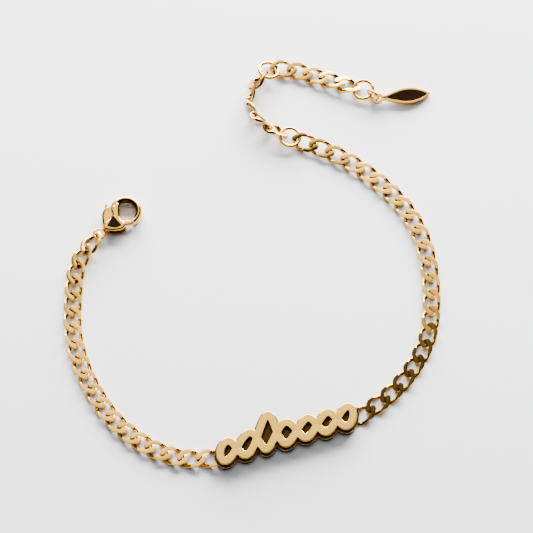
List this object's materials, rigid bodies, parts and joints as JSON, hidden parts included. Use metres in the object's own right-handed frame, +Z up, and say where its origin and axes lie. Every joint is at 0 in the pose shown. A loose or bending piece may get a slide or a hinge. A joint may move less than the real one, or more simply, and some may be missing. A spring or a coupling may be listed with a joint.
{
  "type": "nameplate bracelet",
  "caption": "Slim curb-chain bracelet with a pierced ornament plate, a lobster clasp, a ring-and-link extender and a leaf-shaped tag, laid open on a flat surface.",
  "frame": {"origin": "middle of the bounding box on the surface that it lies on", "axes": "+Z up from the surface, +Y along the laid-open bracelet from the nameplate towards the extender, +X towards the chain that ends in the extender"},
  "size_m": [0.0746, 0.0878, 0.0035],
  "materials": {
    "nameplate": "brushed gold-plated front, polished edges",
    "left_chain": "polished gold plate",
    "right_chain": "polished gold plate",
    "extender_chain_a": "polished gold plate",
    "extender_chain_b": "polished gold plate",
    "join_ring": "polished gold plate",
    "corner_ring": "polished gold plate",
    "end_ring": "polished gold plate",
    "tag_ring": "polished gold plate",
    "tag": "mirror-polished gold plate",
    "clasp_body": "brushed and polished gold plate",
    "clasp_lever": "brushed gold plate"
  },
  "bodies": {
    "bracelet": {"nameplate": "nameplate", "left_chain": "left_chain", "right_chain": "right_chain", "extender_chain_a": "extender_chain_a", "extender_chain_b": "extender_chain_b", "join_ring": "join_ring", "corner_ring": "corner_ring", "end_ring": "end_ring", "tag_ring": "tag_ring", "tag": "tag", "clasp_body": "clasp_body"},
    "lever": {"clasp_lever": "clasp_lever"}
  },
  "joints": [
    {"name": "lever_turn", "type": "hinge", "parent": "bracelet", "child": "lever", "pos_m": [-0.0276, 0.00745, 0.0011], "axis": [0, 0, 1], "range_deg": [0, 25], "stiffness_Nm_per_rad": 0.0005}
  ]
}
